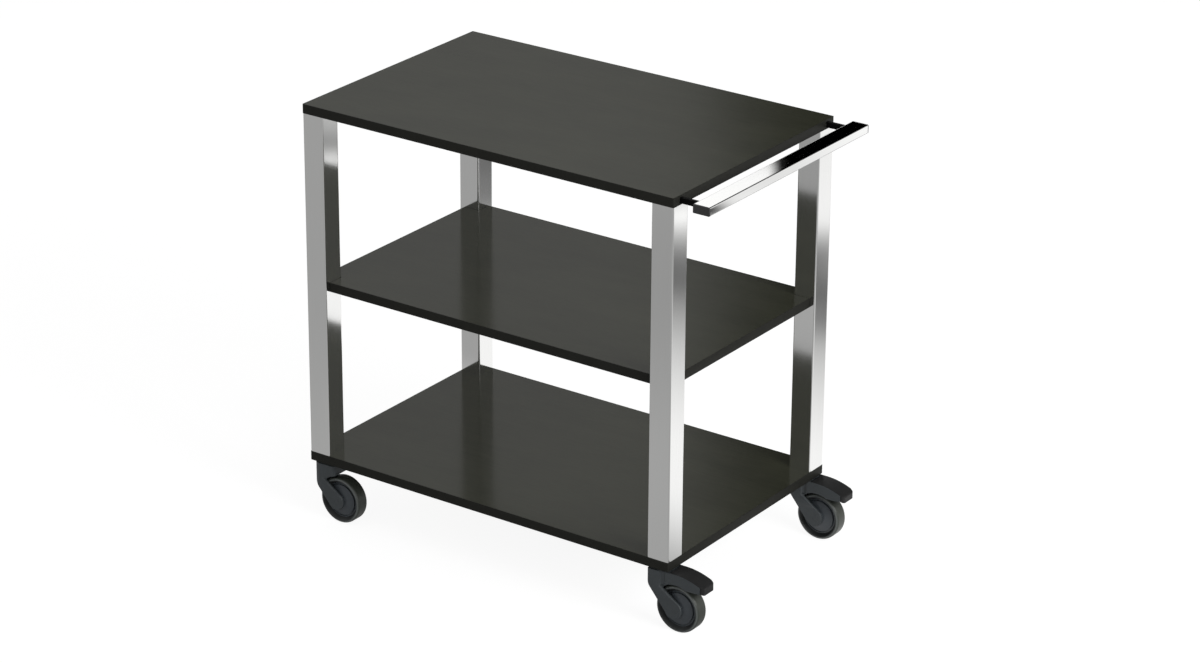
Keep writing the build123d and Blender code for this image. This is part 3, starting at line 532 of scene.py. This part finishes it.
black_coat = moulded_finish("black_powder_coat", COAT_COLOUR, COAT_ROUGHNESS, COAT_GRAIN, COAT_DEPTH,
                            COAT_MOTTLE, COAT_IOR)
dress(black_coat, "shelf_brackets")
plate_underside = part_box("shelf_brackets")[0].z
screws_low, screws_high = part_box("bracket_screws")
screw_places = []
for x, in_x in [(screws_low.x + SCREW_HEAD / 2, 1), (screws_high.x - SCREW_HEAD / 2, -1)]:
    for y, in_y in [(screws_low.y + SCREW_HEAD / 2, 1), (screws_high.y - SCREW_HEAD / 2, -1)]:
        screw_places.append((x, y + in_y * SCREW_STEP, plate_underside))
        screw_places.append((x + in_x * SCREW_STEP, y, plate_underside))
screw_points = bpy.data.meshes.new("bracket_screw_places")
screw_points.from_pydata(screw_places, [], [])
sizes = {"Head diameter": SCREW_HEAD, "Crown diameter": SCREW_CROWN, "Head height": SCREW_HEAD_HEIGHT,
         "Shank diameter": SCREW_SHANK, "Shank length": screws_high.z - plate_underside,
         "Cross width": SCREW_CROSS, "Cross length": SCREW_CROSS_LENGTH, "Cross depth": SCREW_CROSS_DEPTH,
         "Material": zinc_steel}
screws = grown("bracket_cross_screws", screw_points, screw_tree(), sizes)
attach(screws, "frame")
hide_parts("bracket_screws")


# Handle: a flat rectangular tube, polished as the legs are, held off the end of the top board by two
# short black arms. Studs run through the arms from inserts in the board to nut blocks in the tube.
BAR_WALL = 0.0015
BAR_CORNER = 0.002
# The bar's steel is paler than the legs' so that its reflections read brighter: a painted sheen.
BAR_COLOUR_PAINTED_SHEEN = (0.96, 0.96, 0.95, 1)
BAR_LINE_CYCLES = (900.0, 6.0, 900.0)
BAR_ROUGHNESS = 0.028
CAP_COLOUR = (0.030, 0.030, 0.031, 1)
CAP_ROUGHNESS = 0.4
bar_steel = steel_finish("bar_steel_painted_sheen", BAR_COLOUR_PAINTED_SHEEN, BAR_LINE_CYCLES, BAR_ROUGHNESS, POLISH_DEPTH)
low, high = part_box("handle_bar")
near_end = Vector(((low.x + high.x) / 2, low.y, (low.z + high.z) / 2))
lying = Matrix.Translation(near_end) @ Matrix.Rotation(-pi / 2, 4, "X")
bar_size = (high.x - low.x, high.z - low.z, high.y - low.y)
bar = tube("handle_bar_tube", bar_size, BAR_WALL, BAR_CORNER, lying, bar_steel)
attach(bar, "frame")
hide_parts("handle_bar")
cap_plastic = moulded_finish("end_cap_plastic", CAP_COLOUR, CAP_ROUGHNESS)
dress(cap_plastic, "handle_end_caps")
dress(black_coat, "handle_arm_front", "handle_arm_rear")
dress(zinc_steel, "handle_studs", "handle_inserts", "handle_nut_blocks")


# Caster stems: turned steel studs with a flange, zinc plated, that go up through the bottom board into
# the foot plugs. The swivel ring runs under the flange and a nut in the fork holds it all together.
dress(zinc_steel, "caster_stems", "swivel_rings", "stem_nuts")


# Forks: blue-grey glass-filled plastic, moulded in one piece with a fine satin grain.
# Each sweeps back from the stem to a round boss at the axle; two carry the side walls of a brake.
FORK_COLOUR = (0.045, 0.052, 0.056, 1)
FORK_ROUGHNESS = 0.48
MOULDED_SHARP = radians(28)


def joined_copy(node, name, material):
    """A node's own shape with its facets joined, so that its curves shade smoothly."""
    form = bmesh.new()
    form.from_mesh(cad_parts[node].data)
    bmesh.ops.remove_doubles(form, verts=form.verts, dist=MERGE_WITHIN)
    mesh = mesh_from(form, name)
    if "custom_normal" in mesh.attributes:
        mesh.attributes.remove(mesh.attributes["custom_normal"])
    mesh.shade_smooth()
    mesh.set_sharp_from_angle(angle=MOULDED_SHARP)
    return link_mesh(name, mesh, material)


def smooth_piece(node, name, body, material):
    piece = joined_copy(node, name, material)
    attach(piece, body)
    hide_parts(node)
    return piece


fork_plastic = moulded_finish("fork_plastic", FORK_COLOUR, FORK_ROUGHNESS)
for corner in CORNERS:
    smooth_piece(f"fork_{corner}", f"caster_fork_{corner}", f"caster_{corner}", fork_plastic)


# Wheels: a moulded disc with a grey rubber tyre on its rim, running on two plain bushes.
# The axle is a blackened steel pin, flush with both cheeks of the fork.
# The tyre has each of its colours at a share of the wheel's radius, and they blend in between.
DISC_COLOUR = (0.052, 0.060, 0.068, 1)
DISC_ROUGHNESS = 0.3
# Painted light on the tyre: the deepest ring next to the disc and the sides, darker than the tread, are
# painted shade; the pale shoulder ring is a painted highlight.
TYRE_PAINTED_SHADE = (0.016, 0.018, 0.018, 1)
TYRE_SIDE = (0.028, 0.031, 0.031, 1)
TYRE_PAINTED_HIGHLIGHT = (0.118, 0.129, 0.126, 1)
TYRE_TREAD = (0.043, 0.048, 0.040, 1)
TYRE_PAINTED_LIGHT_ZONES = [(0.83, TYRE_PAINTED_SHADE), (0.89, TYRE_SIDE), (0.935, TYRE_PAINTED_HIGHLIGHT), (0.985, TYRE_TREAD)]
TYRE_ROUGHNESS = 0.38
TYRE_GRAIN = 0.0009
TYRE_DEPTH = 0.00012
TYRE_MOTTLE = 0.35
BUSH_COLOUR = (0.34, 0.34, 0.32, 1)
BUSH_ROUGHNESS = 0.5
AXLE_COLOUR = (0.044, 0.050, 0.054, 1)
AXLE_ROUGHNESS = 0.46
AXLE_GRAIN = 0.0008
AXLE_DEPTH = 0.00004


def tyre_finish():
    """Rubber with painted shade next to the disc and on its sides, and a painted highlight round the
    shoulders.
    """
    material = moulded_finish("tyre_rubber", TYRE_TREAD, TYRE_ROUGHNESS, TYRE_GRAIN, TYRE_DEPTH, TYRE_MOTTLE)
    tree = material.node_tree
    reach = add_node(tree, "ShaderNodeAttribute", attribute_name="reach").outputs["Fac"]
    # The ramp paints shade and a highlight on the tyre by each point's distance from the axle.
    painted_light_ramp = add_node(tree, "ShaderNodeValToRGB", {"Fac": reach})
    stops = painted_light_ramp.color_ramp.elements
    stops.remove(stops[1])
    stops[0].position, stops[0].color = TYRE_PAINTED_LIGHT_ZONES[0]
    for position, colour in TYRE_PAINTED_LIGHT_ZONES[1:]:
        stops.new(position).color = colour
    skin = next(node for node in tree.nodes if node.type == "GROUP")
    tree.links.new(painted_light_ramp.outputs["Color"], skin.inputs["Colour"])
    return material


def mark_reach(piece, node):
    """Keeps on each point of a wheel how far it is from the axle, as a share of the wheel's radius."""
    low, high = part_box(node)
    centre = (low + high) / 2
    reach = piece.data.attributes.new("reach", "FLOAT", "POINT")
    for vertex, entry in zip(piece.data.vertices, reach.data):
        entry.value = hypot(vertex.co.x - centre.x, vertex.co.z - centre.z) / (high.z - centre.z)


disc_plastic = moulded_finish("wheel_disc_plastic", DISC_COLOUR, DISC_ROUGHNESS)
tyre_rubber = tyre_finish()
bush_plastic = moulded_finish("bush_plastic", BUSH_COLOUR, BUSH_ROUGHNESS)
axle_coat = moulded_finish("blackened_axle", AXLE_COLOUR, AXLE_ROUGHNESS, AXLE_GRAIN, AXLE_DEPTH)
for corner in CORNERS:
    wheel = f"wheel_{corner}"
    smooth_piece(f"wheel_disc_{corner}", f"disc_{corner}", wheel, disc_plastic)
    tread = smooth_piece(f"tyre_{corner}", f"tread_{corner}", wheel, tyre_rubber)
    mark_reach(tread, f"tyre_{corner}")
    dress(bush_plastic, f"wheel_bushes_{corner}")
    dress(axle_coat, f"axle_{corner}", f"axle_nut_{corner}")


# Brakes: on the two casters at the handle end a dark moulded pedal tips about a steel pin.
# A rubber shoe under it presses on the tyre, and a flat leaf spring lifts it again.
BRAKED = ["front_right", "rear_right"]
PEDAL_COLOUR = (0.0085, 0.0085, 0.0087, 1)
PEDAL_ROUGHNESS = 0.55
PEDAL_MOTTLE = 0.2
SHOE_COLOUR = (0.012, 0.012, 0.012, 1)
SHOE_ROUGHNESS = 0.75
SHOE_GRAIN = 0.0009
SHOE_DEPTH = 0.0001
pedal_plastic = moulded_finish("pedal_plastic", PEDAL_COLOUR, PEDAL_ROUGHNESS, mottle=PEDAL_MOTTLE)
shoe_rubber = moulded_finish("shoe_rubber", SHOE_COLOUR, SHOE_ROUGHNESS, SHOE_GRAIN, SHOE_DEPTH)
for corner in BRAKED:
    pedal = f"pedal_{corner}"
    smooth_piece(f"brake_pedal_{corner}", f"pedal_tread_{corner}", pedal, pedal_plastic)
    dress(shoe_rubber, f"brake_shoe_{corner}")
    dress(axle_coat, f"pedal_pin_{corner}", f"brake_leaf_{corner}")


# Studio floor: white paper that keeps a faint shadow. Polished steel sees it grey in front of the cart
# and with a dark card behind the cart, between two slanting edges. Soft spots, each with its place, its
# reach and its change of tone, shade that further; at the reach half of the change is left.
WHITE = (1, 1, 1, 1)
FLOOR_HALF = 14.0
PAPER_GLOW = 0.89
PAPER_SHADE = 0.25
PAPER_BOUNCE = 0.45
FRONT_GREY = 0.367
FRONT_EDGE = (-0.15, 0.30)
CARD_GREY = 0.16
CARD_FAR_SLANT = 0.673
CARD_FAR_EDGE = (2.32, 2.68)
CARD_NEAR_SLANT = 0.435
CARD_NEAR_EDGE = (0.84, 1.84)
CARD_NEAR_CURVE = 1.5
FLOOR_SPOTS = [(1.79, 1.68, 0.055, -0.9), (1.95, 2.0, 0.25, -0.3), (1.66, 1.62, 0.05, 0.35),
               (0.92, 1.41, 0.04, 1.6), (1.09, 1.63, 0.09, 0.4), (1.24, 1.61, 0.06, -0.09),
               (1.0, 1.23, 0.09, -0.12), (0.42, 1.40, 0.12, -0.25), (-0.35, -0.8, 0.45, 0.12),
               (-0.6, -1.75, 0.6, -0.12)]


def by_ray(tree, soft, direct, mirrored):
    """One shader for the light that is cast, one for the camera's eye and one for mirrors and glass."""
    ray = add_node(tree, "ShaderNodeLightPath").outputs
    shiny = maths(tree, "MAXIMUM", ray["Is Glossy Ray"], ray["Is Transmission Ray"])
    shown = add_node(tree, "ShaderNodeMixShader", {0: ray["Is Camera Ray"], 1: soft, 2: direct}).outputs[0]
    return add_node(tree, "ShaderNodeMixShader", {0: shiny, 1: shown, 2: mirrored}).outputs[0]


def mirrored_floor(tree):
    """How bright each place on the floor is in a mirror."""
    place = add_node(tree, "ShaderNodeTexCoord").outputs["Object"]
    axes = add_node(tree, "ShaderNodeSeparateXYZ", {"Vector": place}).outputs
    front = fade(tree, axes["Y"], *FRONT_EDGE, FRONT_GREY, 1.0, "SMOOTHSTEP")
    far_line = maths(tree, "MULTIPLY_ADD", axes["X"], CARD_FAR_SLANT, axes["Y"])
    near_line = maths(tree, "MULTIPLY_ADD", axes["X"], CARD_NEAR_SLANT, axes["Y"])
    past_far = fade(tree, far_line, *CARD_FAR_EDGE)
    past_near = fade(tree, near_line, *CARD_NEAR_EDGE)
    within = maths(tree, "SUBTRACT", 1.0, maths(tree, "MULTIPLY", past_far, past_far))
    card = maths(tree, "MULTIPLY", within, maths(tree, "POWER", past_near, CARD_NEAR_CURVE))
    tone = maths(tree, "MULTIPLY_ADD", card, CARD_GREY - 1.0, 1.0)
    for x, y, reach, change in FLOOR_SPOTS:
        aside = maths(tree, "DIVIDE", maths(tree, "SUBTRACT", axes["X"], x), reach)
        beyond = maths(tree, "DIVIDE", maths(tree, "SUBTRACT", axes["Y"], y), reach)
        apart = maths(tree, "MULTIPLY_ADD", aside, aside, maths(tree, "MULTIPLY", beyond, beyond))
        tone = maths(tree, "MULTIPLY_ADD", maths(tree, "POWER", 0.5, apart), change, tone)
    return maths(tree, "MULTIPLY", front, maths(tree, "MAXIMUM", tone, 0.0))


def studio_floor():
    mesh = bpy.data.meshes.new("floor")
    half = FLOOR_HALF
    corners = [(-half, -half, 0), (half, -half, 0), (half, half, 0), (-half, half, 0)]
    mesh.from_pydata(corners, [], [(0, 1, 2, 3)])
    material = bpy.data.materials.new("floor_paper")
    material.use_nodes = True
    tree = material.node_tree
    tree.nodes.clear()

    def glow(strength):
        return add_node(tree, "ShaderNodeEmission", {"Color": WHITE, "Strength": strength}).outputs[0]

    def matt(grey):
        return add_node(tree, "ShaderNodeBsdfDiffuse", {"Color": (grey, grey, grey, 1)}).outputs[0]

    paper = add_node(tree, "ShaderNodeAddShader", {0: matt(PAPER_SHADE), 1: glow(PAPER_GLOW)}).outputs[0]
    shown = by_ray(tree, matt(PAPER_BOUNCE), paper, glow(mirrored_floor(tree)))
    add_node(tree, "ShaderNodeOutputMaterial", {"Surface": shown})
    return link_mesh("studio_floor", mesh, material)


studio_floor()


# Studio surroundings: white to the camera, with soft light from the sides. Polished steel sees a black
# card behind the cart, grey to the right of it and behind the camera, and walls that pale with height.
# Turns are in degrees from +Y towards +X, and heights are the Z of a direction of length 1.
AMBIENT_SIDE = 1.06
AMBIENT_TOP = 0.05
AMBIENT_HEIGHT = (0.45, 0.75)
CARD_FROM = -32.215
CARD_FROM_SOFT = 0.09
CARD_BENDS = [(0.362, 0.372), (0.3485, 0.3455)]
CARD_BEND_TURN = 0.9
CARD_TO = (27.0, 30.0)
ROOM_GREY = 0.45
ROOM_FROM = (0.1, -0.3)
ROOM_SIDE = (37.5, 39.0)
ROOM_SIDE_LIGHT = 0.40
LOW_WALL = (0.325, 0.352)
LOW_WALL_GREY = 0.66
HIGH_WALL = (0.352, 0.42)
HIGH_WALL_LIGHT = 1.28


def mirrored_room(tree, toward):
    """How bright the surroundings are in a mirror, in each direction."""

    def past(turn, start, end, light=1.0):
        return fade(tree, turn, radians(start), radians(end), 0.0, light)

    turn = maths(tree, "ARCTAN2", toward["X"], toward["Y"])
    bent = turn
    for start, end in CARD_BENDS:
        bend = fade(tree, toward["Z"], start, end, 0.0, radians(CARD_BEND_TURN))
        bent = maths(tree, "ADD", bent, bend)
    onto_card = past(bent, CARD_FROM - CARD_FROM_SOFT, CARD_FROM + CARD_FROM_SOFT)
    off_card = maths(tree, "ADD", past(turn, *CARD_TO, ROOM_GREY), past(turn, *ROOM_SIDE, ROOM_SIDE_LIGHT))
    tone = maths(tree, "SUBTRACT", 1.0, maths(tree, "SUBTRACT", onto_card, off_card))
    tone = maths(tree, "MULTIPLY", tone, fade(tree, toward["Z"], *LOW_WALL, LOW_WALL_GREY, 1.0))
    tone = maths(tree, "MINIMUM", tone, fade(tree, toward["Y"], *ROOM_FROM, 1.0, ROOM_GREY))
    return maths(tree, "MULTIPLY", tone, fade(tree, toward["Z"], *HIGH_WALL, 1.0, HIGH_WALL_LIGHT))


def studio_world():
    world = bpy.data.worlds.new("studio")
    world.use_nodes = True
    tree = world.node_tree
    tree.nodes.clear()
    toward = add_node(tree, "ShaderNodeTexCoord").outputs["Generated"]
    toward = add_node(tree, "ShaderNodeSeparateXYZ", {"Vector": toward}).outputs

    def glow(strength):
        return add_node(tree, "ShaderNodeBackground", {"Color": WHITE, "Strength": strength}).outputs[0]

    ambient = fade(tree, toward["Z"], *AMBIENT_HEIGHT, AMBIENT_SIDE, AMBIENT_TOP)
    shown = by_ray(tree, glow(ambient), glow(1.0), glow(mirrored_room(tree, toward)))
    add_node(tree, "ShaderNodeOutputWorld", {"Surface": shown})
    return world


bpy.context.scene.world = studio_world()


# Lamps: a wide softbox overhead and a stronger one at the handle end, both turned to the cart's middle.
# Each has its place, its width and its power in watts.
SOFTBOXES = {"overhead_softbox": ((0.3, -0.4, 3.4), 3.2, 3.0), "side_softbox": ((3.2, -0.6, 2.0), 1.8, 60.0)}
LIT_POINT = Vector((0.0, 0.0, 0.5))
for name, (place, width, power) in SOFTBOXES.items():
    lamp = bpy.data.lights.new(name, "AREA")
    lamp.size = width
    lamp.energy = power
    softbox = bpy.data.objects.new(name, lamp)
    softbox.location = place
    softbox.rotation_euler = (LIT_POINT - Vector(place)).to_track_quat("-Z", "Y").to_euler()
    bpy.context.scene.collection.objects.link(softbox)


# Camera: in front of the cart, to the right of it and above it, with a slight roll.
# Its focal length is in pixels of an image 1200 pixels wide.
CAMERA_PLACE = Vector((4.1771, -5.9124, 3.5105))
CAMERA_TURN = radians(34.96)
CAMERA_HEIGHT = radians(22.95)
CAMERA_ROLL = radians(0.433)
FOCAL_PIXELS = 3851.4
IMAGE_WIDTH = 1200
SENSOR_WIDTH = 36.0
FARTHEST_SEEN = 100.0
view = bpy.data.cameras.new("view")
view.sensor_width = SENSOR_WIDTH
view.lens = SENSOR_WIDTH * FOCAL_PIXELS / IMAGE_WIDTH
view.clip_end = FARTHEST_SEEN
camera = bpy.data.objects.new("view", view)
away = Vector((sin(CAMERA_TURN) * cos(CAMERA_HEIGHT), -cos(CAMERA_TURN) * cos(CAMERA_HEIGHT),
               sin(CAMERA_HEIGHT)))
right = Vector((cos(CAMERA_TURN), sin(CAMERA_TURN), 0.0))
upward = away.cross(right)
rolled_right = cos(CAMERA_ROLL) * right + sin(CAMERA_ROLL) * upward
rolled_up = cos(CAMERA_ROLL) * upward - sin(CAMERA_ROLL) * right
turned = Matrix([rolled_right, rolled_up, away]).transposed()
camera.matrix_world = Matrix.Translation(CAMERA_PLACE) @ turned.to_4x4()
bpy.context.scene.collection.objects.link(camera)
bpy.context.scene.camera = camera
bpy.context.scene.view_settings.view_transform = "Standard"
